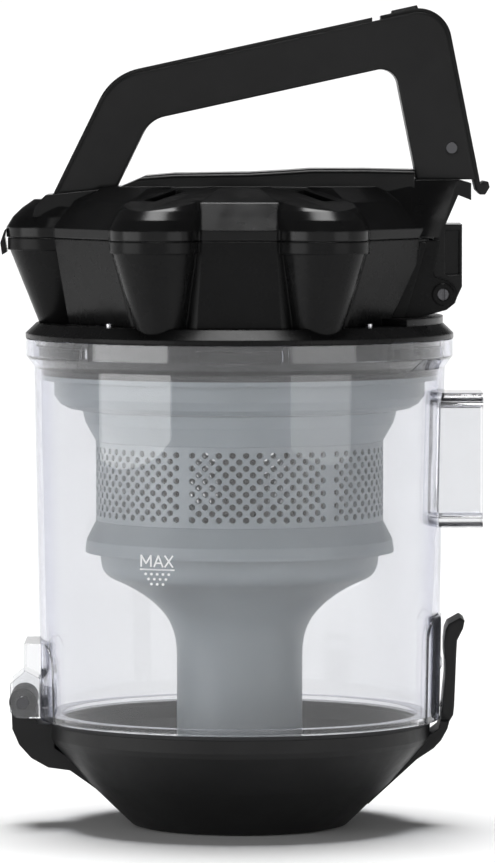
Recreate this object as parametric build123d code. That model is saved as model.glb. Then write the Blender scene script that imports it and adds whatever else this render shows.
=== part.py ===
from build123d import *
import math
import os

# Dust container of a bagless vacuum cleaner: clear bin, hinged bottom door, cyclone, head and handle.
# Millimetres, +Z up. The origin is on the bin's axis, in the plane that the bottom door stands on.
# -X is the side of the door's hinge; +X the side of the air inlet, the door's latch and the lid's hinge.

GAP = 0.3                 # clearance between pieces that move past each other
PIN_FIT = 0.05            # radial clearance of a hinge pin

# Clear bin
BIN_BOTTOM = 42.0
BIN_TOP = 190.2
BIN_WALL = 2.5
BIN_R_LOW = 77.5          # outer radius at the bottom edge
BIN_R_HIGH = 80.0         # outer radius where the wall meets the rim
WALL_TOP = 179.1
RIM_R = 83.1
RIM_START = 183.5
RIM_INNER_R = 80.4
LIP_R = 69.5              # inward lip at the bottom edge
LIP_THICK = 2.2

# Air inlet on the side of the bin
INLET_X = 94.4
INLET_Z = (117.0, 169.3)
INLET_HALF_Y = 17.0
INLET_WALL = 2.7
INLET_ROUND = 4.0

# Bayonet between head and bin
LUG_COUNT = 6
LUG_R = 80.0
LUG_HALF = 11.0           # degrees
LEDGE_HALF = 12.0         # degrees
LEDGE_R = 77.6
LUG_Z = (184.0, 187.7)
LEDGE_Z = 188.1

# Bottom door
DOOR_TOP = 40.2
DOOR_R = 74.4
SEAL_TOP = BIN_BOTTOM - GAP
DOOR_HINGE = (-84.2, 48.9)
DOOR_PIN_R = 2.36
KNUCKLE_R = 5.4
ARM_HALF_Y = 13.0
CHEEK_HALF_Y = 17.0
LATCH_PIVOT = (81.1, 45.2)
LATCH_PIN_R = 1.3
LATCH_KNUCKLE_R = 2.6
LATCH_HALF_Y = 12.0
LATCH_LUG_HALF_Y = 8.0
LATCH_NOTCH_HALF_Y = 2.6   # room for the spring between the door's two lugs
LATCH_PIN_HALF_Y = 11.0

# Cyclone
SCREEN_R = 56.0
SCREEN_WALL = 1.6
SCREEN_Z = (119.5, 150.5)
TUBE_R = 24.5
TUBE_BOTTOM = 9.8
FUNNEL_R = 54.2
SHELL = 2.0
CONE_COUNT = 8
CONE_RING_R = 38.0
DECK_Z = (178.6, 180.6)

# Head
FLANGE_R = 83.3
NECK_R = 79.2
FLANGE_BOTTOM = BIN_TOP + GAP
HOUSING_BOTTOM = 196.2
SEAM_Z = 229.3
HOUSING_WALL = 2.4
BUCKET_TOP = (31.7, 62.5)
BUCKET_FOOT = (29.5, 65.8)
BUCKET_R = 17.9
BUCKET_BODY_R = 16.6
BUCKET_BAND = 4.6         # height of the band at the top of each flute
BUCKET_FOOT_R = 9.2
FRONT_BUCKET_TOP = -72.8
FRONT_BUCKET_FOOT = -67.6
LID_HINGE = (78.7, 207.7)
LID_PIN_R = 2.26
EAR_HALF_Y = (16.2, 20.0)
BOSS_R = 4.2
BOSS_RISE = 0.6
LID_ARM_HALF_Y = 15.8
FOOT_HALF_Y = 15.8

# Filter
PLEAT_R = 52.2
PLEAT_PITCH = 8.0
PLEAT_THICK = 1.4
PLEAT_Z = (202.0, 219.0)

# Lid and handle
LID_BOTTOM = SEAM_Z + GAP
LID_BAND_TOP = 233.4
LID_SHOULDER = 243.8
LID_DECK = 249.2
LID_WALL = 2.4
SPINE_TOP = 256.2
SPINE_HALF_Y = 20.0
SPINE_ROUND = 2.4
SCOOP_HALF_WIDTH = 14.2
SCOOP_RIM = (81.4, 240.9)   # radius and height where a scoop's floor meets its flute's rim
SCOOP_TILT = 8.0            # degrees
SLOT_SIZE = (27.0, 5.0)
FRONT_FOOT_Z = 246.0
REAR_FOOT_Z = 252.0
HANDLE_HALF_Y = 14.0
HANDLE_WALL = 2.6
CAP_THICK = 4.0
EDGE_THICK = 1.5          # part of the cap that lies over the handle's side walls
STRIP_THICK = 5.0
LEVER_PIVOT = (82.1, 264.2)
LEVER_PIN_R = 2.1
LEVER_BOSS_R = 4.6
LEVER_HALF_Y = 11.0
LEVER_BOSS_HALF_Y = 5.0
LEVER_START_X = 54.7
LEVER_FOOT_Z = 252.6
CAP_END_X = 51.3

# Half of the head's plan, Y > 0, from +X to -X, at the seam and at its foot
HEAD_PLAN_TOP = [(73, 21), (50, 53), (14, 70), (-14, 70), (-50, 53), (-71.5, 21)]
HEAD_PLAN_FOOT = [(57, 36), (41, 56), (16, 71), (-16, 71), (-41, 56), (-66, 16)]
# Half of the lid's plan where its steep slope ends, and where its flat deck begins
LID_PLAN_MIDDLE = [(64.6, 17), (43, 48), (14.6, 61.5), (-14.6, 61.5), (-43, 48), (-63.6, 16)]
LID_PLAN_UPPER = [(62, 12), (33, 37), (10, 50), (-10, 50), (-33, 37), (-55, 12)]
# Half of the fairing's plan, which joins the lid's spine to its hinge, at its foot and at its top
FAIRING_FOOT = [(77, 19), (67, 28.5), (40, 26)]
FAIRING_TOP = [(84.6, 15.8), (66, 19), (32, 16)]


def outline_xz(points):
    """A face in the XZ plane from (x, z) points."""
    return Plane.XZ * make_face(Polyline(*points, close=True))


def turned(points, degrees=360):
    """A solid of revolution about Z from (radius, height) points."""
    return revolve(outline_xz(points), Axis.Z, degrees)


def plate(face, y_from, y_to):
    """A face of the XZ plane made into a plate between two Y positions."""
    return Pos(0, y_to, 0) * extrude(face, y_to - y_from)


def slab(points, y_from, y_to):
    return plate(outline_xz(points), y_from, y_to)


def twin_slabs(points, y_from, y_to):
    """Two equal plates, mirrored about the XZ plane."""
    one = slab(points, y_from, y_to)
    return one + mirror(one, Plane.XZ)


def pin_y(centre, radius, half_y):
    """A round pin along Y."""
    x, z = centre
    return Pos(x, 0, z) * Rot(90, 0, 0) * Cylinder(radius, 2 * half_y)


def arc_band(r_in, r_out, z_from, z_to, middle, half):
    """Part of a flat ring, half degrees either way of the middle angle."""
    band = [(r_in, z_from), (r_out, z_from), (r_out, z_to), (r_in, z_to)]
    return Rot(0, 0, middle - half) * turned(band, 2 * half)


def around(shape, count, first=0.0):
    """Copies of a shape, evenly spaced about Z."""
    return [Rot(0, 0, first + i * 360 / count) * shape for i in range(count)]


def plan_face(half_points, z, grow=0.0):
    """A closed plan outline, symmetric about the X axis, at height z."""
    other_half = [(x, -y) for x, y in reversed(half_points)]
    face = make_face(Polyline(*half_points, *other_half, close=True))
    if grow:
        face = offset(face, grow, kind=Kind.INTERSECTION)
    return Pos(0, 0, z) * face


def tapered(x0, y0, z0, r0, x1, y1, z1, r1):
    """A round flute between two circles that need not share an axis."""
    low = Pos(x0, y0, z0) * Circle(r0)
    high = Pos(x1, y1, z1) * Circle(r1)
    return loft([low, high], ruled=True)


def bucket_places():
    """Top and foot centres of the head's five round flutes."""
    places = [((FRONT_BUCKET_TOP, 0), (FRONT_BUCKET_FOOT, 0))]
    for side_x in (-1, 1):
        for side_y in (-1, 1):
            top = (side_x * BUCKET_TOP[0], side_y * BUCKET_TOP[1])
            foot = (side_x * BUCKET_FOOT[0], side_y * BUCKET_FOOT[1])
            places.append((top, foot))
    return places


# ---------------------------------------------------------------- clear bin

def bin_wall():
    inner_low = BIN_R_LOW - BIN_WALL
    inner_high = BIN_R_HIGH - BIN_WALL
    return turned([
        (LIP_R, BIN_BOTTOM), (BIN_R_LOW, BIN_BOTTOM), (BIN_R_HIGH, WALL_TOP), (RIM_R, RIM_START),
        (RIM_R, BIN_TOP), (RIM_INNER_R, BIN_TOP), (RIM_INNER_R, RIM_START + 0.3),
        (inner_high, WALL_TOP + 0.4), (inner_low, BIN_BOTTOM + LIP_THICK), (LIP_R, BIN_BOTTOM + LIP_THICK)])


def inlet_box(half_y, z_from, z_to, x_to, round_r):
    """The inlet's outside or its bore, as a rounded box along X."""
    section = Plane.YZ * Rectangle(2 * half_y, z_to - z_from)
    section = fillet(section.vertices(), round_r)
    return Pos(60, 0, (z_from + z_to) / 2) * extrude(section, x_to - 60)


def bin_pad(side, half_y, z_to, thick):
    """A raised pad on the outside of the wall, with rounded top corners."""
    ring = turned([
        (BIN_R_LOW - 1, BIN_BOTTOM), (BIN_R_LOW + thick, BIN_BOTTOM),
        (BIN_R_LOW + thick + 0.0182 * (z_to - BIN_BOTTOM), z_to),
        (BIN_R_LOW - 1 + 0.0182 * (z_to - BIN_BOTTOM), z_to)])
    section = Plane.YZ * Pos(0, (z_to + BIN_BOTTOM) / 2) * Rectangle(2 * half_y, z_to - BIN_BOTTOM)
    section = fillet(section.vertices().group_by(Axis.Z)[-1], 9)
    return ring & (Pos(side * 60, 0, 0) * extrude(section, side * 40))


def make_dust_bin():
    """Clear wall with its rim, bayonet ledges, inlet duct, hinge bracket and latch catch."""
    body = bin_wall()
    low_z, high_z = INLET_Z
    body += inlet_box(INLET_HALF_Y, low_z, high_z, INLET_X, INLET_ROUND)
    body += bin_pad(-1, 30, 72, 0.5)
    body += bin_pad(1, 29, 82.5, 0.6)
    cheek = [(-77, 43), (-86.5, 43), (-89, 45.5), (-89, 56.5), (-83.6, 61), (-83.6, 72), (-77, 72)]
    body += twin_slabs(cheek, ARM_HALF_Y + GAP, CHEEK_HALF_Y)
    block = [(-77, 58), (-83.6, 61.5), (-83.6, 72), (-77, 72)]
    body += slab(block, -ARM_HALF_Y - GAP, ARM_HALF_Y + GAP)
    catch = [(77.8, 60.0), (79.0, 62.8), (79.0, 65.3), (77.8, 65.3)]
    body += slab(catch, -6, 6)
    inside = turned([
        (0, BIN_BOTTOM + LIP_THICK), (BIN_R_LOW - BIN_WALL, BIN_BOTTOM + LIP_THICK),
        (BIN_R_HIGH - BIN_WALL, WALL_TOP + 0.4), (0, WALL_TOP + 0.4)])
    body -= inside
    body -= inlet_box(INLET_HALF_Y - INLET_WALL, low_z + INLET_WALL + 1, high_z - INLET_WALL - 1,
                      INLET_X + 1, INLET_ROUND - INLET_WALL + 1)
    ledge = arc_band(LEDGE_R, RIM_INNER_R + 0.4, LEDGE_Z, BIN_TOP, -90, LEDGE_HALF)
    stop = arc_band(LEDGE_R + 1, RIM_INNER_R + 0.4, LUG_Z[0], BIN_TOP, -90 + LEDGE_HALF + 0.6, 0.8)
    body += around(ledge, LUG_COUNT)
    body += around(stop, LUG_COUNT)
    body -= pin_y(DOOR_HINGE, DOOR_PIN_R, CHEEK_HALF_Y + 1)
    return body


def make_door_hinge_pin():
    return pin_y(DOOR_HINGE, DOOR_PIN_R, CHEEK_HALF_Y)


# -------------------------------------------------------------- bottom door

def bowl_outside():
    return [(0, 0), (39.5, 0), (42, 0.6), (44, 2.4), (60.1, 17.9), (73.2, 32.9), (DOOR_R - 0.2, 35),
            (DOOR_R, DOOR_TOP), (0, DOOR_TOP)]


def bowl_inside():
    return [(0, 3), (40.5, 3), (42.5, 4.4), (57.6, 18.9), (69.4, 32.4), (71, 35), (71.4, DOOR_TOP + 1),
            (0, DOOR_TOP + 1)]


def make_bottom_door():
    """Bowl that closes the bin, with its hinge arm and the cheeks that carry the latch."""
    door = turned(bowl_outside())
    arm = [(-48, 9.5), (-66, 22.3), (-74.4, 23.4), (-81, 27.1), (-85.7, 32.3), (-88.4, 38.5),
           (-88.6, 46), (-84.2, 50), (-79, 46), (-78.7, 40.2), (-72, 40.2), (-72, 31), (-50, 16)]
    door += slab(arm, -ARM_HALF_Y, ARM_HALF_Y)
    door += pin_y(DOOR_HINGE, KNUCKLE_R, ARM_HALF_Y)
    horn = [(50, 9), (68.9, 26.4), (75.5, 30.8), (78.4, 33.9), (80.9, 38.5), (81.6, 41.2), (78.1, 41.2),
            (77.4, 38.5), (70, 33)]
    door += slab(horn, -LATCH_HALF_Y, LATCH_HALF_Y)
    lug = [(78.4, 40), (81.2, 40), (83.2, 43.4), (83.4, 46), (82, 47.4), (80.2, 47.4), (78.6, 46)]
    door += twin_slabs(lug, LATCH_NOTCH_HALF_Y, LATCH_LUG_HALF_Y)
    door -= turned(bowl_inside())
    door -= turned([(55, DOOR_TOP), (77.95, DOOR_TOP), (77.95, 60), (55, 60)])
    door -= pin_y(DOOR_HINGE, DOOR_PIN_R + PIN_FIT, ARM_HALF_Y + 1)
    door -= pin_y(LATCH_PIVOT, LATCH_PIN_R, LATCH_LUG_HALF_Y + 1)
    return door


def make_door_seal():
    return turned([(71.6, DOOR_TOP), (74.2, DOOR_TOP), (74.2, SEAL_TOP), (70.2, SEAL_TOP),
                   (70.2, SEAL_TOP - 0.6), (71.6, SEAL_TOP - 0.6)])


def make_tube_seat():
    """Tall rubber ring under the end of the dust tube."""
    return turned([(20, 3), (27.5, 3), (27.5, TUBE_BOTTOM - GAP), (20, TUBE_BOTTOM - GAP)])


def make_door_latch():
    """Hand latch on the outside of the bin, with a cheek on each side of the door's lugs."""
    side = [(78.9, 47.5), (79.3, 52), (80, 59), (80, 65.4), (79.8, 65.7), (79.6, 68), (79.6, 72.4),
            (80.1, 76.7), (81.2, 79.2), (85.8, 81.8), (87.5, 80.6), (86.9, 77.6), (84.6, 73.0),
            (84.3, 68.1), (83.9, 57.3), (83.5, 47.5), (83.1, 43.8), (82.2, 42.4), (80.7, 42.3),
            (79.1, 43.5), (78.5, 45.2)]
    latch = slab(side, -LATCH_HALF_Y, LATCH_HALF_Y)
    latch = fillet(latch.edges().filter_by(Axis.Y).group_by(Axis.Z)[-1], 0.8)
    x, z = LATCH_PIVOT
    latch -= pin_y(LATCH_PIVOT, LATCH_KNUCKLE_R + 0.8, LATCH_LUG_HALF_Y + GAP)
    latch -= Pos(x, 0, z - 4) * Box(12, 2 * LATCH_LUG_HALF_Y + 2 * GAP, 8)
    latch -= pin_y(LATCH_PIVOT, LATCH_PIN_R + PIN_FIT, LATCH_PIN_HALF_Y + 0.1)
    return latch


def make_latch_pin():
    return pin_y(LATCH_PIVOT, LATCH_PIN_R, LATCH_PIN_HALF_Y)


# ------------------------------------------------------------------ cyclone

def collar_outside():
    return [(76.9, 176.4), (76.9, 174.5), (72.2, 174.5), (72.2, 168.3), (69.8, 165), (66.8, 163.3),
            (61.3, 162.4), (60.1, 157.7), (58, 153.8), (SCREEN_R, SCREEN_Z[1])]


def make_cyclone_collar():
    """Grey shroud above the screen, held inside the head's skirt by its sleeve."""
    inside = [(SCREEN_R - SHELL, SCREEN_Z[1]), (56, 154.5), (58.1, 158.6), (59.2, 164.4), (65.8, 165.3),
              (68.2, 166.4), (70.2, 169), (70.2, 184), (74.2, 184), (74.2, 176.4)]
    return turned(collar_outside() + inside)


def make_screen():
    low, high = SCREEN_Z
    return turned([(SCREEN_R - SCREEN_WALL, low), (SCREEN_R, low), (SCREEN_R, high),
                   (SCREEN_R - SCREEN_WALL, high)])


def make_skirt():
    """Flared skirt under the screen."""
    return turned([(SCREEN_R - SHELL, 119.5), (55.8, 119.5), (59.6, 112), (60.1, 108.3), (60.1, 107.1),
                   (58.3, 107.1), (58.1, 108.2), (57.6, 111.6), (54.6, 117.2), (54.3, 117.2),
                   (54.3, 119.2), (SCREEN_R - SHELL, 119.2)])


def funnel_solid(inset, bottom, top):
    """The funnel with its tube, solid to the axis, with its side moved inwards by inset."""
    rise = 0.8 * inset
    tube_r = TUBE_R - inset
    rim_r = FUNNEL_R - inset
    side = Spline((tube_r, 66), (28.2 - 0.9 * inset, 81 + 0.4 * inset), (35.5 - rise, 88.6 + rise),
                  (47.4 - rise, 95.6 + rise), (rim_r, 106), tangents=((0, 1), (0, 1)))
    foot = Polyline((rim_r, 106), (rim_r, top), (0, top), (0, bottom), (tube_r, bottom), (tube_r, 66))
    return revolve(Plane.XZ * make_face([side, *foot.edges()]), Axis.Z)


def make_dust_funnel():
    """Funnel and tube that carry the fine dust down to the bottom door."""
    return funnel_solid(0, TUBE_BOTTOM, 116.9) - funnel_solid(SHELL, TUBE_BOTTOM - 1, 118)


def make_cyclone_cones():
    """Ring of small separator cones between a top deck and a tip plate."""
    deck_low, deck_high = DECK_Z
    deck = turned([(0, deck_low), (70.2, deck_low), (70.2, deck_high), (0, deck_high)])
    tips = turned([(0, 117.2), (52, 117.2), (52, 119.2), (0, 119.2)])
    outside = turned([(0, 112), (4.6, 112), (12.6, 165), (12.6, deck_low), (0, deck_low)])
    bore = turned([(0, 110), (3.2, 110), (11.2, 165), (11.2, 190), (0, 190)])
    at_ring = Pos(CONE_RING_R, 0, 0)
    cones = deck + tips + around(at_ring * outside, CONE_COUNT)
    return cones - around(at_ring * bore, CONE_COUNT)


def make_vortex_plate():
    """Plate with one outlet tube over each small cone."""
    low = DECK_Z[1]
    plate_disc = turned([(0, low), (70, low), (70, low + 2), (0, low + 2)])
    tube = turned([(0, 166), (6.4, 166), (6.4, low + 3.4), (0, low + 3.4)])
    bore = turned([(0, 165), (5.2, 165), (5.2, low + 5), (0, low + 5)])
    at_ring = Pos(CONE_RING_R, 0, 0)
    return plate_disc + around(at_ring * tube, CONE_COUNT) - around(at_ring * bore, CONE_COUNT)


# --------------------------------------------------------------------- head

def ring_envelope():
    """Everything the head ring fills, bore included."""
    return turned([(0, 170), (77, 170), (77, FLANGE_BOTTOM), (FLANGE_R, FLANGE_BOTTOM), (FLANGE_R, 192.3),
                   (NECK_R, HOUSING_BOTTOM), (0, HOUSING_BOTTOM)])


def make_head_ring():
    """Flange that rests over the bin's rim, with the skirt and the bayonet lugs inside the rim."""
    ring = turned([
        (74.4, 178.4), (77, 178.4), (77, FLANGE_BOTTOM), (FLANGE_R, FLANGE_BOTTOM), (FLANGE_R, 192.3),
        (NECK_R, HOUSING_BOTTOM), (66, HOUSING_BOTTOM), (66, 193.6), (74.4, 193.6)])
    lug = arc_band(76.5, LUG_R, LUG_Z[0], LUG_Z[1], -90, LUG_HALF)
    return ring + around(lug, LUG_COUNT) - head_screw_set()


def make_bin_seal():
    return turned([(74.2, 176.4), (76.9, 176.4), (77.1, 177.4), (76.9, 178.4), (74.2, 178.4)])


def head_drum(grow, z_low, z_high):
    """The head's faceted drum, grown or shrunk by an offset of its plan."""
    foot = plan_face(HEAD_PLAN_FOOT, z_low, grow)
    top = plan_face(HEAD_PLAN_TOP, z_high, grow)
    return loft([foot, top], ruled=True)


def buckets(shrink, z_low, z_band, z_high):
    """The head's round flutes, from their feet up to the band under the seam."""
    solids = []
    for top, foot in bucket_places():
        body = tapered(*foot, z_low, BUCKET_FOOT_R - shrink, *top, z_band, BUCKET_BODY_R - shrink)
        solids.append(body)
        band_r = BUCKET_R - shrink
        solids.append(Pos(*top, (z_band + z_high) / 2) * Cylinder(band_r, z_high - z_band))
    return solids


def hinge_bosses():
    """Raised rings round the lid hinge, on the outside of its ears."""
    inner, outer = EAR_HALF_Y
    wide = pin_y(LID_HINGE, BOSS_R, outer + BOSS_RISE)
    return wide - pin_y(LID_HINGE, BOSS_R + 1, inner)


def make_filter_housing():
    """Hollow drum that holds the filters, with the lid's hinge ears at +X."""
    band_z = SEAM_Z - BUCKET_BAND
    housing = head_drum(0, HOUSING_BOTTOM, SEAM_Z)
    housing += buckets(0, HOUSING_BOTTOM - 3, band_z, SEAM_Z)
    hollow = head_drum(-HOUSING_WALL, HOUSING_BOTTOM + HOUSING_WALL, SEAM_Z + 0.01)
    hollow += buckets(HOUSING_WALL, HOUSING_BOTTOM + HOUSING_WALL, band_z, SEAM_Z + 0.01)
    housing -= hollow
    housing -= Pos(0, 0, HOUSING_BOTTOM) * Cylinder(62, 10)
    plinth = arc_band(60, NECK_R, HOUSING_BOTTOM, 199, 0, 36)
    plinth -= head_drum(-1, HOUSING_BOTTOM, SEAM_Z)
    housing += plinth
    ear = [(60, 199), (68.7, 198.6), (80, 201.7), (83.3, 204.4), (84.3, 207.7), (83.2, 210.8),
           (80, 213.3), (76.1, 214.2), (74.9, 216), (77.4, 228.6), (62, 228.6)]
    ears = twin_slabs(ear, *EAR_HALF_Y)
    ears += hinge_bosses()
    rib = [(57, 195), (62.9, 195), (72.3, 228), (68, 228)]
    ribs = twin_slabs(rib, 21.5, 25)
    housing += (ears + ribs) - head_drum(-1, HOUSING_BOTTOM, SEAM_Z)
    housing -= ring_envelope()
    housing -= head_screw_set()
    housing -= Pos(-92, 0, 226.3) * Box(4, 12, 8)
    housing -= pin_y(LID_HINGE, LID_PIN_R, EAR_HALF_Y[1] + 2)
    return housing


def make_lid_hinge_pin():
    """Pin with a screwdriver slot in each end."""
    x, z = LID_HINGE
    slots = Pos(x, 0, z) * (Box(1, 50, 6) - Box(2, 2 * EAR_HALF_Y[1] - 1.6, 7))
    return pin_y(LID_HINGE, LID_PIN_R, EAR_HALF_Y[1]) - slots


def make_foam_filter():
    return Pos(0, 0, 189.4) * Cylinder(65.6, 8.4)


def make_filter_frame():
    """Round tray that carries the pleated filter."""
    tray = turned([(0, 198.8), (54, 198.8), (54, 222), (58, 222), (58, 224), (52.4, 224), (52.4, 200.6),
                   (0, 200.6)])
    places = [-36, -18, 0, 18, 36]
    holes = [Pos(x, y, 200) * Cylinder(7, 6) for x in places for y in places if math.hypot(x, y) < 44]
    return tray - holes


def make_pleated_filter():
    """Paper folded up and down, as one zigzag sheet cut round."""
    folds = int(2 * PLEAT_R / PLEAT_PITCH)
    edge = [((i - folds) * PLEAT_PITCH / 2, PLEAT_Z[i % 2]) for i in range(2 * folds + 1)]
    back = [(x, z + PLEAT_THICK) for x, z in reversed(edge)]
    return slab(edge + back, -PLEAT_R, PLEAT_R) & Pos(0, 0, 212) * Cylinder(PLEAT_R, 30)


def head_screw_set():
    screw = turned([(0, 190.7), (3.2, 190.7), (3.2, 193.6), (1.4, 193.6), (1.4, 197.4), (0, 197.4)])
    return around(Pos(70, 0, 0) * screw, 4, 45)


def make_head_screws():
    """Four screws that hold the head ring to the housing."""
    return Compound(head_screw_set())


# ---------------------------------------------------------------------- lid

def lid_shell(inset):
    """The lid's faceted body, shrunk by a wall thickness: a band, a steep slope and a flatter one."""
    levels = [(HEAD_PLAN_TOP, LID_BAND_TOP - inset / 3), (LID_PLAN_MIDDLE, LID_SHOULDER - inset / 2),
              (LID_PLAN_UPPER, LID_DECK - inset)]
    faces = [plan_face(plan, z, -inset) for plan, z in levels]
    band = extrude(plan_face(HEAD_PLAN_TOP, LID_BOTTOM, -inset), LID_BAND_TOP - LID_BOTTOM - inset / 3)
    return band + loft(faces[:2], ruled=True) + loft(faces[1:], ruled=True)


def lid_domes(inset):
    """Round shoulders over the five flutes, leaning in as they rise."""
    rings = [(1.0, LID_BOTTOM, BUCKET_R), (1.0, LID_BAND_TOP, BUCKET_R), (0.975, 237.4, 17.3),
             (0.94, 240.9, 16.2), (0.9, LID_SHOULDER + 0.4, 14.4)]
    solids = []
    for (x, y), _ in bucket_places():
        for (s0, z0, r0), (s1, z1, r1) in zip(rings, rings[1:]):
            drop = 0 if z0 == LID_BOTTOM else inset / 2
            solids.append(tapered(s0 * x, s0 * y, z0 - drop, r0 - inset,
                                  s1 * x, s1 * y, z1 - inset / 2, r1 - inset))
    return solids


def lid_spine(inset):
    """The raised middle that carries the handle's feet, with rounded top edges."""
    half = SPINE_HALF_Y - inset
    profile = [(-44, 240), (-47.5, 248.6), (-36.5, 253.4), (-25, 254.4), (4, 254.8), (17, 255.5),
               (27.5, SPINE_TOP), (48, SPINE_TOP), (67.6, 255.8), (67.6, 240)]
    spine = slab([(x, z - inset) for x, z in profile], -half, half)
    long_edges = [e for e in spine.edges() if abs(abs(e.center().Y) - half) < 0.1 and e.center().Z > 252 - inset]
    top_edges = [e for e in long_edges if abs(e.tangent_at(0.5).X) > 0.9]
    return fillet(top_edges, SPINE_ROUND)


def lid_fairing(inset):
    """The part that widens from the spine down to the hinge."""
    foot = plan_face(FAIRING_FOOT, LID_BOTTOM, -inset)
    top = plan_face(FAIRING_TOP, REAR_FOOT_Z - inset, -inset)
    return loft([foot, top], ruled=True)


def at_flutes(shape):
    """A shape placed at each of the four side flutes, by mirroring it from the one at +X +Y."""
    pair = [shape, mirror(shape, Plane.YZ)]
    return pair + [mirror(one, Plane.XZ) for one in pair]


def along_flute(shape):
    """A shape made along +X, turned to run out over the side flute at +X +Y."""
    x, y = BUCKET_TOP
    return Rot(0, 0, math.degrees(math.atan2(y, x))) * shape


def scoop(wall):
    """Sloped-floor recess that runs in from the rim of a side flute, less a wall thickness."""
    rim_u, rim_z = SCOOP_RIM
    section = Polyline((SCOOP_HALF_WIDTH, 0.8), (0, 0), (-SCOOP_HALF_WIDTH, 0.8),
                       (-SCOOP_HALF_WIDTH - 7, 14), (SCOOP_HALF_WIDTH + 7, 14), close=True)
    face = Plane.YZ * make_face(section)
    if wall:
        face = offset(face, wall, kind=Kind.INTERSECTION)
    block = Pos(-58, 0, 0) * extrude(face, 70)
    return along_flute(Pos(rim_u, 0, rim_z) * Rot(0, SCOOP_TILT, 0) * block)


def vent_slot():
    """Slot through a scoop's floor, along one side of it."""
    length, width = SLOT_SIZE
    return along_flute(Pos(47, -8, 245) * Box(length, width, 30))


def lid_feet():
    """Flat seats on the lid for the handle's front and rear feet."""
    front = [(-80, 238), (-79, 242.2), (-75, FRONT_FOOT_Z), (-46, 249), (-36, 249), (-36, 238)]
    rear = [(66, 231), (77.5, 229.6), (84.6, 246), (89.6, 244), (89.6, 250.6), (84.6, REAR_FOOT_Z),
            (62, REAR_FOOT_Z)]
    return slab(front, -FOOT_HALF_Y, FOOT_HALF_Y) + slab(rear, -FOOT_HALF_Y, FOOT_HALF_Y)


def lid_top(inset):
    """The lid's outer shape, shrunk by a wall thickness."""
    body = lid_shell(inset) + lid_domes(inset)
    body -= at_flutes(scoop(inset))
    return body + lid_spine(inset) + lid_fairing(inset)


def lid_envelope():
    return lid_top(0) + lid_feet()


def make_top_cover():
    """Lid of the head, with the hinge arm at +X and the snap tab at -X."""
    cover = lid_envelope() - lid_top(LID_WALL)
    cover -= at_flutes(vent_slot())
    arm = [(73.2, 229.6), (75.2, 229.6), (74.6, 214), (74, 210), (78.7, 203), (83.5, 205), (86.1, 210.6),
           (86.1, 234.7), (79, 234.7)]
    cover += slab(arm, -LID_ARM_HALF_Y, LID_ARM_HALF_Y)
    pocket = [(79.6, 215.2), (85, 215.2), (85, 232.4), (79.6, 232.4)]
    cover -= twin_slabs(pocket, LID_ARM_HALF_Y - 2.5, LID_ARM_HALF_Y + 1)
    cover += pin_y(LID_HINGE, 5.6, LID_ARM_HALF_Y)
    tab = [(-90.5, 233), (-91.2, 229.6), (-90.3, 223.8), (-92.3, 222.6), (-93, 227.3), (-91.4, 232)]
    cover += slab(tab, -5, 5)
    cover -= pin_y(LID_HINGE, LID_PIN_R + PIN_FIT, LID_ARM_HALF_Y + 1)
    return cover


def make_filter_seal():
    return turned([(54, 224), (57.6, 224), (57, 226.4), (54.6, 226.4)])


# ------------------------------------------------------------------- handle

def grip_outside():
    """Face under the handle's outer edge."""
    face = make_face(Polyline((-77.2, 236), (-49.4, 292.6), (79.3, 320.7), (96.2, 236), close=True))
    face = fillet(face.vertices().filter_by_position(Axis.X, -52, -47), 22)
    face = fillet(face.vertices().filter_by_position(Axis.X, 78, 81), 13)
    return Plane.XZ * face


def grip_inside():
    """Face of the finger opening, down to below the lid."""
    face = make_face(Polyline((-53.9, 236), (-34.8, 275), (59.9, 295.8), (71.8, 236), close=True))
    face = fillet(face.vertices().filter_by_position(Axis.X, -36, -34), 12)
    face = fillet(face.vertices().filter_by_position(Axis.X, 59, 61), 6.5)
    return Plane.XZ * face


def arch(depth, half_y):
    """The handle's arch with its outer edge cut back by depth."""
    face = offset(grip_outside(), -depth) if depth else grip_outside()
    solid = plate(face, -half_y, half_y)
    solid -= plate(grip_inside(), -half_y - 1, half_y + 1)
    below = [(-120, 200), (-120, FRONT_FOOT_Z), (-74, FRONT_FOOT_Z), (-46, 249), (-40, 249), (-20, 256),
             (62, 256), (62, REAR_FOOT_Z), (120, REAR_FOOT_Z), (120, 200)]
    return solid - slab(below, -40, 40)


def block_x(x_from, x_to):
    """A tall block between two X positions, larger than the handle."""
    return Pos((x_from + x_to) / 2, 0, 290) * Box(x_to - x_from, 80, 120)


def make_handle():
    """The arch, a channel that the cap and the release lever close from outside."""
    side = HANDLE_HALF_Y - HANDLE_WALL
    core = plate(grip_outside(), -side, side)
    core -= plate(offset(grip_inside(), HANDLE_WALL), -side - 1, side + 1)
    handle = arch(EDGE_THICK, HANDLE_HALF_Y) - core
    handle -= pin_y(LEVER_PIVOT, LEVER_PIN_R, HANDLE_HALF_Y + 1)
    return handle - lid_envelope()


def make_handle_cap():
    """Strip along the handle's outer edge, from the front foot to the release lever."""
    cap = arch(0, HANDLE_HALF_Y) - arch(EDGE_THICK, HANDLE_HALF_Y + 1)
    rib_half = HANDLE_HALF_Y - HANDLE_WALL
    cap += arch(EDGE_THICK / 2, rib_half) - arch(CAP_THICK, rib_half + 1)
    cap &= block_x(-120, CAP_END_X)
    return cap - lid_envelope()


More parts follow.
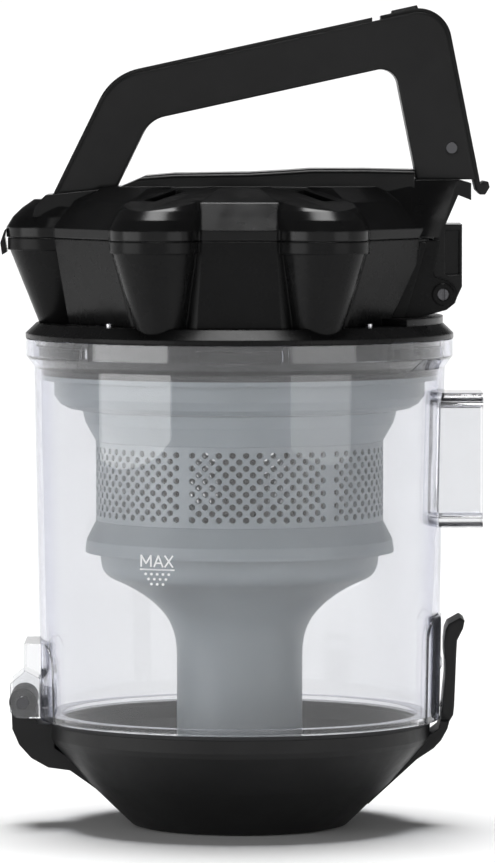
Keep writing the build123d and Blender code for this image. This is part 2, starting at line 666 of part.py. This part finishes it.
def make_release_lever():
    """Lever in the handle's outer edge: button at the top, boss on its pin, hook at the foot."""
    lever = arch(0, LEVER_HALF_Y) - arch(STRIP_THICK, LEVER_HALF_Y + 1)
    lever &= block_x(LEVER_START_X, 120)
    lever -= Pos(90, 0, LEVER_FOOT_Z - 20) * Box(60, 60, 40)
    button = [(58.5, 314.5), (59.1, 317.3), (68.7, 319.4), (69.6, 317)]
    lever += slab(button, -8, 8)
    hook = [(84.5, 256.5), (92.1, 256.5), (93.3, 250.2), (94.7, 251.3), (96.4, 251), (96.9, 249),
            (95.2, 246.1), (93.2, 246.1), (91.5, 247.8), (90.4, 252.6), (84.5, 252.6)]
    lever += slab(hook, -LEVER_HALF_Y, LEVER_HALF_Y)
    web = [(82, 260.4), (87, 258), (86, 272), (82, 268)]
    lever += slab(web, -LEVER_BOSS_HALF_Y, LEVER_BOSS_HALF_Y)
    lever += pin_y(LEVER_PIVOT, LEVER_BOSS_R, LEVER_BOSS_HALF_Y)
    return lever - pin_y(LEVER_PIVOT, LEVER_PIN_R + PIN_FIT, LEVER_HALF_Y + 1)


def make_lever_pin():
    """Pin with a shallow head that shows on the side of the handle."""
    return pin_y(LEVER_PIVOT, LEVER_PIN_R, HANDLE_HALF_Y)


def torsion_spring(centre, coil_r, wire_r, turns, y_from):
    """A coil of wire round a pin along Y."""
    pitch = 2.2 * wire_r
    path = Helix(pitch, pitch * turns, coil_r)
    coil = sweep(Plane(origin=path @ 0, z_dir=path % 0) * Circle(wire_r), path)
    x, z = centre
    return Pos(x, y_from, z) * Rot(-90, 0, 0) * coil


def make_lever_spring():
    return torsion_spring(LEVER_PIVOT, 2.6, 0.3, 4, LEVER_BOSS_HALF_Y + 1.2)


def make_latch_spring():
    return torsion_spring(LATCH_PIVOT, 1.9, 0.3, 5, -1.6)


SUBPARTS = {
    "dust_bin": make_dust_bin,
    "door_hinge_pin": make_door_hinge_pin,
    "bottom_door": make_bottom_door,
    "door_seal": make_door_seal,
    "dust_tube_seat": make_tube_seat,
    "door_latch": make_door_latch,
    "latch_pin": make_latch_pin,
    "latch_spring": make_latch_spring,
    "head_ring": make_head_ring,
    "bin_seal": make_bin_seal,
    "cyclone_collar": make_cyclone_collar,
    "cyclone_screen": make_screen,
    "cyclone_skirt": make_skirt,
    "dust_funnel": make_dust_funnel,
    "cyclone_cones": make_cyclone_cones,
    "vortex_plate": make_vortex_plate,
    "foam_filter": make_foam_filter,
    "filter_housing": make_filter_housing,
    "filter_frame": make_filter_frame,
    "pleated_filter": make_pleated_filter,
    "head_screws": make_head_screws,
    "lid_hinge_pin": make_lid_hinge_pin,
    "top_cover": make_top_cover,
    "filter_seal": make_filter_seal,
    "handle": make_handle,
    "handle_cap": make_handle_cap,
    "release_lever": make_release_lever,
    "lever_pin": make_lever_pin,
    "lever_spring": make_lever_spring,
}


if __name__ == "__main__":
    os.makedirs("parts", exist_ok=True)
    for name, make in SUBPARTS.items():
        shape = make()
        export_step(shape, "parts/" + name + ".step")
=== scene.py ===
import math

import bpy
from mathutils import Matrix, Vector


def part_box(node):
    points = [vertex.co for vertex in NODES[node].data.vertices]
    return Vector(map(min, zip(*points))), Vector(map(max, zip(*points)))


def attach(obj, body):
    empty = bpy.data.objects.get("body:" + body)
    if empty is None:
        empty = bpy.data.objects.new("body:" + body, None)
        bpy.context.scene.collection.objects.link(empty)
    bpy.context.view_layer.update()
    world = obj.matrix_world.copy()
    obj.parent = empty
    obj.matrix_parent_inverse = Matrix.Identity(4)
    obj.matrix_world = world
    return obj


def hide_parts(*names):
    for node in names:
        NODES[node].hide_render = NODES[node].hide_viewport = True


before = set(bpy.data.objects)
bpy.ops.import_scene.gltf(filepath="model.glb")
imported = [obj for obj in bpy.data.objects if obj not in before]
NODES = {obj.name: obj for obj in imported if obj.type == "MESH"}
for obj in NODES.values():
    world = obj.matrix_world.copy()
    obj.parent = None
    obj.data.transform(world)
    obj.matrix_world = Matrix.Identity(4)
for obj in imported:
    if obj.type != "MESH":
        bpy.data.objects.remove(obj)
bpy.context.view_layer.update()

# Dust container of a bagless vacuum cleaner. Metres, +Z up, in the CAD's frame.

MM = 0.001

# Camera: height above the base plane, distance from the bin's axis, and the point it aims at
CAMERA_HEIGHT = 0.2885
CAMERA_DISTANCE = 2.4526
CAMERA_AIM = (0.0031, 0.0, 0.1536)
CAMERA_LENS = 262.8    # mm
CAMERA_SENSOR = 36     # mm
CAMERA_REACH = 200     # far clipping distance, beyond the edge of the floor

# Studio
FLOOR_DROP = 0.0002          # below the base plane, so the two faces don't coincide
FLOOR_R = 60.0
FLOOR_SIDES = 64
OVERHEAD_PLACE = (0, 0.2, 1.5)
OVERHEAD_POWER = 4.2
OVERHEAD_WIDTH = 34.0        # degrees
HORIZON_LEVEL = 1.06
STUDIO_LEVEL = 0.06
HORIZON_FADE = (0.09, 0.16)  # sine of the elevation
WHITE = (1, 1, 1, 1)
LIGHT_TARGET = (0, 0, 0.16)
SOFT_BOXES = [               # name, place, size, power
    ("left_box", (-1.4, -0.78, 0.27), (1.36, 0.55), 7.5),
    ("right_box", (1.15, -1.11, 0.27), (1.04, 0.55), 2.6),
    ("front_box", (0, -2.7, 1.2), (1.6, 0.6), 5),
]

# Clear plastic
HAZE = 0.025                 # share of the light that scatters instead of passing through
CLEAR_IOR = 1.46
CLEAR_SHADOW = (0.9, 0.91, 0.93, 1)
CLEAR_TINTS = [              # from face on to edge on
    (0.0, (0.82, 0.825, 0.84)),
    (0.45, (0.80, 0.805, 0.835)),
    (0.72, (0.48, 0.50, 0.64)),
    (0.92, (0.07, 0.075, 0.19)),
]

# Screen of the cyclone
SCREEN_PANELS = 6
SCREEN_ROWS = 11
SCREEN_COLUMNS = 11
SCREEN_TURN = -82.0       # degrees, middle of the nearest panel
SCREEN_STEP = 4.0 / 3.0   # degrees, a quarter of the pitch between holes
SCREEN_ROW_PITCH = 2.47 * MM
SCREEN_MIDDLE_Z = 135.0 * MM
SCREEN_SHARP_ANGLE = 40   # degrees, edges at least this sharp aren't smoothed
CELL = 4                  # steps along each side of the square cell round one hole
HOLE_R = 1.25 * MM
HOLE_WALL = 1.6 * MM

# Clear wall, a slim cone, and the fill mark printed on it, in millimetres
WALL_FOOT_R = 77.5
WALL_FOOT_Z = 42.0
WALL_SPREAD = 2.5         # growth of the radius over the height of the wall
WALL_HEIGHT = 137.1
PRINT_LIFT = 0.04
PRINT_THICKNESS = 0.06
MARK_LEFT = -37.2
MARK_FOOT = 106.2
LETTER_HEIGHT = 4.3
STROKE_WIDTH = 0.62
STROKE_OVERRUN = 0.4      # share of half the stroke's width
LINE_Z = 105.1
DOT_R = 0.55
DOT_SIDES = 14
DOT_PITCH = 2.2
DOT_ROW_PITCH = 1.9
DOT_TOP_Z = 103.4
DOT_ROWS = (5, 4, 3)


# ------------------------------------------------------------------ node trees

class Tree:
    """A material's nodes, with short calls to add and join them."""

    def __init__(self, name):
        self.material = bpy.data.materials.new(name)
        self.material.use_nodes = True
        self.nodes = self.material.node_tree.nodes
        self.links = self.material.node_tree.links
        self.nodes.clear()
        self.output = self.add("ShaderNodeOutputMaterial")
        self.place = self.add("ShaderNodeTexCoord").outputs["Object"]

    def add(self, kind, **settings):
        node = self.nodes.new(kind)
        for key, value in settings.items():
            setattr(node, key, value)
        return node

    def join(self, source, target):
        self.links.new(source, target)

    def noise(self, scale, detail=4.0, roughness=0.55):
        node = self.add("ShaderNodeTexNoise")
        node.inputs["Scale"].default_value = scale
        node.inputs["Detail"].default_value = detail
        node.inputs["Roughness"].default_value = roughness
        self.join(self.place, node.inputs["Vector"])
        return node.outputs["Fac"]

    def spread(self, value, low, high, start=0.3, end=0.7):
        """Maps a 0..1 pattern to a range."""
        node = self.add("ShaderNodeMapRange")
        node.inputs["From Min"].default_value = start
        node.inputs["From Max"].default_value = end
        node.inputs["To Min"].default_value = low
        node.inputs["To Max"].default_value = high
        self.join(value, node.inputs["Value"])
        return node.outputs["Result"]

    def ramp(self, value, stops):
        node = self.add("ShaderNodeValToRGB")
        elements = node.color_ramp.elements
        while len(elements) < len(stops):
            elements.new(0.5)
        for element, (position, colour) in zip(elements, stops):
            element.position = position
            element.color = (*colour, 1)
        self.join(value, node.inputs["Fac"])
        return node.outputs["Color"]

    def bump(self, value, distance, strength=1.0, normal=None):
        node = self.add("ShaderNodeBump")
        node.inputs["Distance"].default_value = distance
        node.inputs["Strength"].default_value = strength
        self.join(value, node.inputs["Height"])
        if normal is not None:
            self.join(normal, node.inputs["Normal"])
        return node.outputs["Normal"]

    def soft_edges(self, radius):
        node = self.add("ShaderNodeBevel", samples=4)
        node.inputs["Radius"].default_value = radius
        return node.outputs["Normal"]

    def principled(self, **values):
        node = self.add("ShaderNodeBsdfPrincipled")
        for key, value in values.items():
            node.inputs[key.replace("_", " ")].default_value = value
        return node

    def finish(self, shader):
        self.join(shader, self.output.inputs["Surface"])
        return self.material


def moulded_plastic(name, dark, light, rough, grain, edge=0.6 * MM, specular=0.5):
    """Injection-moulded plastic: faint mottling, uneven gloss and a fine grain."""
    tree = Tree(name)
    cloud = tree.noise(38, 5)
    speck = tree.noise(2600, 2)
    colour = tree.ramp(cloud, [(0.35, dark), (0.65, light)])
    gloss = tree.spread(tree.noise(90, 6, 0.65), rough[0], rough[1])
    normal = tree.bump(tree.noise(150, 3), 0.05 * MM, 0.25, tree.soft_edges(edge))
    normal = tree.bump(speck, grain, 0.5, normal)
    shader = tree.principled(Specular_IOR_Level=specular)
    tree.join(colour, shader.inputs["Base Color"])
    tree.join(gloss, shader.inputs["Roughness"])
    tree.join(normal, shader.inputs["Normal"])
    return tree.finish(shader.outputs["BSDF"])


def clear_plastic(name):
    """Polished clear polymer, darker and bluer where it is seen edge on. Shadow rays pass through it."""
    tree = Tree(name)
    smear = tree.spread(tree.noise(24, 6, 0.7), 0.0, 0.05, 0.45, 0.8)
    normal = tree.bump(tree.noise(60, 2), 0.02 * MM, 0.3, tree.soft_edges(0.4 * MM))
    facing = tree.add("ShaderNodeLayerWeight")
    facing.inputs["Blend"].default_value = 0.35
    tint = tree.ramp(facing.outputs["Facing"], CLEAR_TINTS)
    glass = tree.principled(IOR=CLEAR_IOR, Transmission_Weight=1.0 - HAZE)
    tree.join(tint, glass.inputs["Base Color"])
    tree.join(smear, glass.inputs["Roughness"])
    tree.join(normal, glass.inputs["Normal"])
    through = tree.add("ShaderNodeBsdfTransparent")
    through.inputs["Color"].default_value = CLEAR_SHADOW
    path = tree.add("ShaderNodeLightPath")
    mix = tree.add("ShaderNodeMixShader")
    tree.join(path.outputs["Is Shadow Ray"], mix.inputs[0])
    tree.join(glass.outputs["BSDF"], mix.inputs[1])
    tree.join(through.outputs["BSDF"], mix.inputs[2])
    return tree.finish(mix.outputs["Shader"])


def metal(name, colour, rough):
    """Drawn steel wire and pins."""
    tree = Tree(name)
    gloss = tree.spread(tree.noise(700, 4), rough - 0.08, rough + 0.1)
    normal = tree.bump(tree.noise(1500, 2), 0.01 * MM, 0.5, tree.soft_edges(0.3 * MM))
    shader = tree.principled(Base_Color=(*colour, 1), Metallic=1.0)
    tree.join(gloss, shader.inputs["Roughness"])
    tree.join(normal, shader.inputs["Normal"])
    return tree.finish(shader.outputs["BSDF"])


def soft_rubber(name, colour):
    """Matt rubber with a fine, uneven surface."""
    tree = Tree(name)
    tone = tree.ramp(tree.noise(120, 4), [(0.3, tuple(0.8 * c for c in colour)), (0.7, colour)])
    normal = tree.bump(tree.noise(1800, 3), 0.03 * MM, 0.6)
    shader = tree.principled(Roughness=0.72, Specular_IOR_Level=0.35)
    tree.join(tone, shader.inputs["Base Color"])
    tree.join(normal, shader.inputs["Normal"])
    return tree.finish(shader.outputs["BSDF"])


def open_foam(name):
    """Open-cell filter foam."""
    tree = Tree(name)
    cells = tree.add("ShaderNodeTexVoronoi", feature="F1")
    cells.inputs["Scale"].default_value = 900
    tree.join(tree.place, cells.inputs["Vector"])
    tone = tree.ramp(cells.outputs["Distance"], [(0.1, (0.02, 0.022, 0.026)), (0.6, (0.14, 0.15, 0.17))])
    shader = tree.principled(Roughness=0.95)
    tree.join(tone, shader.inputs["Base Color"])
    tree.join(tree.bump(cells.outputs["Distance"], 0.4 * MM), shader.inputs["Normal"])
    return tree.finish(shader.outputs["BSDF"])


def filter_paper(name):
    """Fibrous off-white paper."""
    tree = Tree(name)
    tone = tree.ramp(tree.noise(500, 8, 0.7), [(0.3, (0.74, 0.73, 0.68)), (0.7, (0.88, 0.87, 0.83))])
    shader = tree.principled(Roughness=0.9)
    tree.join(tone, shader.inputs["Base Color"])
    tree.join(tree.bump(tree.noise(900, 6, 0.8), 0.1 * MM), shader.inputs["Normal"])
    return tree.finish(shader.outputs["BSDF"])


def studio_floor(name):
    """Nearly white, matt and faintly uneven."""
    tree = Tree(name)
    tone = tree.ramp(tree.noise(3, 2), [(0.3, (0.84, 0.84, 0.84)), (0.7, (0.87, 0.87, 0.87))])
    shader = tree.principled(Roughness=0.75, Specular_IOR_Level=0.2)
    tree.join(tone, shader.inputs["Base Color"])
    return tree.finish(shader.outputs["BSDF"])


def grey(level):
    """A grey with a trace of blue."""
    return (level, level, level * 1.03)


MATERIALS = {
    "clear": clear_plastic("clear_polymer"),
    "lid_gloss": moulded_plastic("black_gloss", grey(0.004), grey(0.006), (0.16, 0.24), 0.003 * MM,
                                 edge=0.9 * MM, specular=0.16),
    "housing": moulded_plastic("black_housing", grey(0.004), grey(0.006), (0.22, 0.32), 0.005 * MM,
                               edge=0.9 * MM, specular=0.1),
    "black_satin": moulded_plastic("black_satin", grey(0.005), grey(0.008), (0.36, 0.48), 0.01 * MM,
                                   edge=1.8 * MM, specular=0.22),
    "charcoal": moulded_plastic("charcoal_satin", grey(0.006), grey(0.009), (0.42, 0.55), 0.012 * MM,
                                specular=0.25),
    "cyclone_grey": moulded_plastic("cyclone_grey", (0.27, 0.30, 0.315), (0.30, 0.335, 0.35), (0.36, 0.48),
                                    0.004 * MM, edge=0.5 * MM),
    "rubber": soft_rubber("black_rubber", (0.018, 0.018, 0.019)),
    "steel": metal("drawn_steel", (0.58, 0.58, 0.6), 0.26),
    "dark_steel": metal("blackened_steel", (0.09, 0.09, 0.095), 0.34),
    "foam": open_foam("filter_foam"),
    "paper": filter_paper("filter_paper"),
    "print": moulded_plastic("white_print", (0.78, 0.78, 0.79), (0.84, 0.84, 0.85), (0.4, 0.5), 0.004 * MM),
}

NODE_MATERIALS = {
    "dust_bin": "clear",
    "door_hinge_pin": "dark_steel",
    "bottom_door": "charcoal",
    "door_seal": "rubber",
    "dust_tube_seat": "rubber",
    "door_latch": "black_satin",
    "latch_pin": "dark_steel",
    "latch_spring": "steel",
    "head_ring": "housing",
    "bin_seal": "rubber",
    "cyclone_collar": "cyclone_grey",
    "cyclone_screen": "cyclone_grey",
    "cyclone_skirt": "cyclone_grey",
    "dust_funnel": "cyclone_grey",
    "cyclone_cones": "black_satin",
    "vortex_plate": "black_satin",
    "foam_filter": "foam",
    "filter_housing": "housing",
    "filter_frame": "black_satin",
    "filter_seal": "rubber",
    "pleated_filter": "paper",
    "head_screws": "steel",
    "lid_hinge_pin": "dark_steel",
    "top_cover": "lid_gloss",
    "handle": "black_satin",
    "handle_cap": "black_satin",
    "release_lever": "black_satin",
    "lever_pin": "dark_steel",
    "lever_spring": "steel",
}


def paint(obj, material):
    """Gives an object one material in all its slots."""
    if not obj.data.materials:
        obj.data.materials.append(material)
    for slot in obj.material_slots:
        slot.link = "OBJECT"
        slot.material = material


def new_piece(name, vertices, faces, material, body):
    """Adds a mesh of one material that moves with a body."""
    mesh = bpy.data.meshes.new(name)
    mesh.from_pydata(vertices, [], faces)
    mesh.update()
    piece = bpy.data.objects.new(name, mesh)
    bpy.context.scene.collection.objects.link(piece)
    mesh.materials.append(material)
    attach(piece, body)
    return piece


# ---------------------------------------------------------------------- screen

def screen_holes():
    """The number of grid columns, and the cells that hold a hole, each by its lower left (column, row)."""
    cells = set()
    columns = round(360 / SCREEN_STEP)
    per_panel = columns // SCREEN_PANELS
    for panel in range(SCREEN_PANELS):
        middle = panel * per_panel
        for row in range(SCREEN_ROWS):
            count = SCREEN_COLUMNS - row % 2
            for index in range(count):
                start = middle + CELL * index - CELL // 2 * count
                cells.add((start % columns, CELL * row))
    return columns, cells


def build_screen():
    """The perforated screen, with its real holes."""
    low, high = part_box("cyclone_screen")
    radius = high.x
    columns, cells = screen_holes()
    step_z = SCREEN_ROW_PITCH / CELL
    centre = CELL // 2
    sides = range(CELL)
    first = SCREEN_MIDDLE_Z - SCREEN_ROWS * SCREEN_ROW_PITCH / 2
    below = [low.z, (low.z + first) / 2]
    above_start = first + SCREEN_ROWS * SCREEN_ROW_PITCH
    heights = below + [first + i * step_z for i in range(CELL * SCREEN_ROWS + 1)]
    heights += [(above_start + high.z) / 2, high.z]
    offset = len(below)

    def point(column, height):
        angle = math.radians(SCREEN_TURN + column * SCREEN_STEP)
        return (radius * math.cos(angle), radius * math.sin(angle), height)

    vertices = [point(c, z) for z in heights for c in range(columns)]

    def at(column, row):
        return row * columns + column % columns

    border = [(i, 0) for i in sides]
    border += [(CELL, j) for j in sides]
    border += [(CELL - i, CELL) for i in sides]
    border += [(0, CELL - j) for j in sides]
    covered = set()
    faces = []
    for column, row in cells:
        for i in sides:
            for j in sides:
                covered.add(((column + i) % columns, row + j + offset))
        ring = []
        middle_z = first + (row + centre) * step_z
        for i, j in border:
            rise = (j - centre) * step_z
            turn = math.atan2(rise, math.radians((i - centre) * SCREEN_STEP) * radius)
            across = math.degrees(HOLE_R * math.cos(turn) / radius) / SCREEN_STEP
            vertices.append(point(column + centre + across, middle_z + HOLE_R * math.sin(turn)))
            ring.append(len(vertices) - 1)
        outer = [at(column + i, row + j + offset) for i, j in border]
        for k in range(len(border)):
            following = (k + 1) % len(border)
            faces.append((outer[k], outer[following], ring[following], ring[k]))
    for row in range(len(heights) - 1):
        for column in range(columns):
            if (column, row) not in covered:
                lower = (at(column, row), at(column + 1, row))
                upper = (at(column + 1, row + 1), at(column, row + 1))
                faces.append(lower + upper)
    screen = new_piece("perforated_screen", vertices, faces, MATERIALS["cyclone_grey"], "head")
    for polygon in screen.data.polygons:
        polygon.use_smooth = True
    wall = screen.modifiers.new("wall", "SOLIDIFY")
    wall.thickness = HOLE_WALL
    wall.offset = -1
    split = screen.modifiers.new("edges", "EDGE_SPLIT")
    split.split_angle = math.radians(SCREEN_SHARP_ANGLE)
    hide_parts("cyclone_screen")


# ------------------------------------------------------------------ fill level

def wall_point(x, z, lift):
    """The point at (x, z) on the near side of the clear wall, lifted off it; x, z and lift in mm."""
    radius = (WALL_FOOT_R + (z - WALL_FOOT_Z) * WALL_SPREAD / WALL_HEIGHT) + lift
    return (x * MM, -math.sqrt(radius * radius - x * x) * MM, z * MM)


def flat_print(name, outlines):
    """Thin print on the wall, from closed outlines of (x, z) points in mm."""
    vertices = []
    faces = []
    for outline in outlines:
        start = len(vertices)
        vertices += [wall_point(x, z, PRINT_LIFT) for x, z in outline]
        faces.append(tuple(range(start, len(vertices))))
    piece = new_piece(name, vertices, faces, MATERIALS["print"], "bin")
    thick = piece.modifiers.new("ink", "SOLIDIFY")
    thick.thickness = PRINT_THICKNESS * MM
    thick.offset = 1


def bar(x0, z0, x1, z1, width):
    """Outline of a straight stroke that runs a little past its ends."""
    along = Vector((x1 - x0, z1 - z0)).normalized() * (width / 2)
    side = Vector((-along.y, along.x))
    outline = []
    for x, z, a, s in [(x0, z0, -1, -1), (x1, z1, 1, -1), (x1, z1, 1, 1), (x0, z0, -1, 1)]:
        corner_x = x + a * along.x * STROKE_OVERRUN + s * side.x
        corner_z = z + a * along.y * STROKE_OVERRUN + s * side.y
        outline.append((corner_x, corner_z))
    return outline


def dot(x, z, radius):
    """Outline of a round dot."""
    turns = [math.tau * i / DOT_SIDES for i in range(DOT_SIDES)]
    return [(x + radius * math.cos(turn), z + radius * math.sin(turn)) for turn in turns]


def build_fill_mark():
    """Fill level: the letters MAX over a line, with a triangle of dots below."""
    low = MARK_FOOT
    top = low + LETTER_HEIGHT
    m = MARK_LEFT
    a = MARK_LEFT + 4.9
    x = MARK_LEFT + 9.0
    strokes = [
        (m, low, m, top),
        (m, top, m + 1.85, low + 1.2),
        (m + 1.85, low + 1.2, m + 3.7, top),
        (m + 3.7, top, m + 3.7, low),
        (a, low, a + 1.65, top),
        (a + 1.65, top, a + 3.3, low),
        (a + 0.6, low + 1.4, a + 2.7, low + 1.4),
        (x, low, x + 3.0, top),
        (x, top, x + 3.0, low),
        (MARK_LEFT - 0.4, LINE_Z, MARK_LEFT + 12.6, LINE_Z),
    ]
    marks = [bar(*ends, STROKE_WIDTH) for ends in strokes]
    middle = MARK_LEFT + 6.1
    for row, count in enumerate(DOT_ROWS):
        for i in range(count):
            dot_x = middle + (i - (count - 1) / 2) * DOT_PITCH
            marks.append(dot(dot_x, DOT_TOP_Z - DOT_ROW_PITCH * row, DOT_R))
    flat_print("fill_level_mark", marks)


# ---------------------------------------------------------------------- studio

def add_soft_box(name, location, size, power):
    """A rectangular light that faces the middle of the object."""
    light = bpy.data.lights.new(name, "AREA")
    light.shape = "RECTANGLE"
    light.size, light.size_y = size
    light.energy = power
    lamp = bpy.data.objects.new(name, light)
    lamp.location = location
    aim = Vector(LIGHT_TARGET) - Vector(location)
    lamp.rotation_euler = aim.to_track_quat("-Z", "Y").to_euler()
    bpy.context.scene.collection.objects.link(lamp)


def add_floor():
    """White floor that runs out to the horizon."""
    vertices = []
    for i in range(FLOOR_SIDES):
        turn = math.tau * i / FLOOR_SIDES
        vertices.append((FLOOR_R * math.cos(turn), FLOOR_R * math.sin(turn), -FLOOR_DROP))
    mesh = bpy.data.meshes.new("floor")
    mesh.from_pydata(vertices, [], [tuple(range(FLOOR_SIDES))])
    floor = bpy.data.objects.new("floor", mesh)
    bpy.context.scene.collection.objects.link(floor)
    mesh.materials.append(studio_floor("studio_white"))


def add_overhead_light():
    """One wide, soft light high above, a little behind the object."""
    light = bpy.data.lights.new("overhead", "SUN")
    light.energy = OVERHEAD_POWER
    light.angle = math.radians(OVERHEAD_WIDTH)
    lamp = bpy.data.objects.new("overhead", light)
    lamp.location = OVERHEAD_PLACE
    lamp.rotation_euler = (-lamp.location).to_track_quat("-Z", "Y").to_euler()
    bpy.context.scene.collection.objects.link(lamp)


def add_white_horizon():
    """A dim studio with a white band all round at the height of the horizon."""
    world = bpy.data.worlds.new("studio")
    bpy.context.scene.world = world
    world.use_nodes = True
    nodes = world.node_tree.nodes
    links = world.node_tree.links
    place = nodes.new("ShaderNodeTexCoord")
    split = nodes.new("ShaderNodeSeparateXYZ")
    fade = nodes.new("ShaderNodeMapRange")
    fade.inputs["From Min"].default_value = HORIZON_FADE[0]
    fade.inputs["From Max"].default_value = HORIZON_FADE[1]
    fade.inputs["To Min"].default_value = HORIZON_LEVEL
    fade.inputs["To Max"].default_value = STUDIO_LEVEL
    links.new(place.outputs["Generated"], split.inputs[0])
    links.new(split.outputs["Z"], fade.inputs["Value"])
    links.new(fade.outputs["Result"], nodes["Background"].inputs["Strength"])
    nodes["Background"].inputs["Color"].default_value = WHITE


def build_studio():
    """White floor and horizon, an overhead light, and soft boxes to the left, the right and in front."""
    add_floor()
    add_overhead_light()
    add_white_horizon()
    for name, location, size, power in SOFT_BOXES:
        add_soft_box(name, location, size, power)


def build_camera():
    """Camera in front of the object, slightly above it."""
    data = bpy.data.cameras.new("camera")
    data.lens = CAMERA_LENS
    data.sensor_width = CAMERA_SENSOR
    data.clip_end = CAMERA_REACH
    camera = bpy.data.objects.new("camera", data)
    camera.location = (CAMERA_AIM[0], -CAMERA_DISTANCE, CAMERA_HEIGHT)
    aim = Vector(CAMERA_AIM) - camera.location
    camera.rotation_euler = aim.to_track_quat("-Z", "Y").to_euler()
    bpy.context.scene.collection.objects.link(camera)
    bpy.context.scene.camera = camera


for node_name, material_name in NODE_MATERIALS.items():
    paint(NODES[node_name], MATERIALS[material_name])
build_screen()
build_fill_mark()
build_studio()
build_camera()
bpy.context.scene.view_settings.view_transform = "Standard"
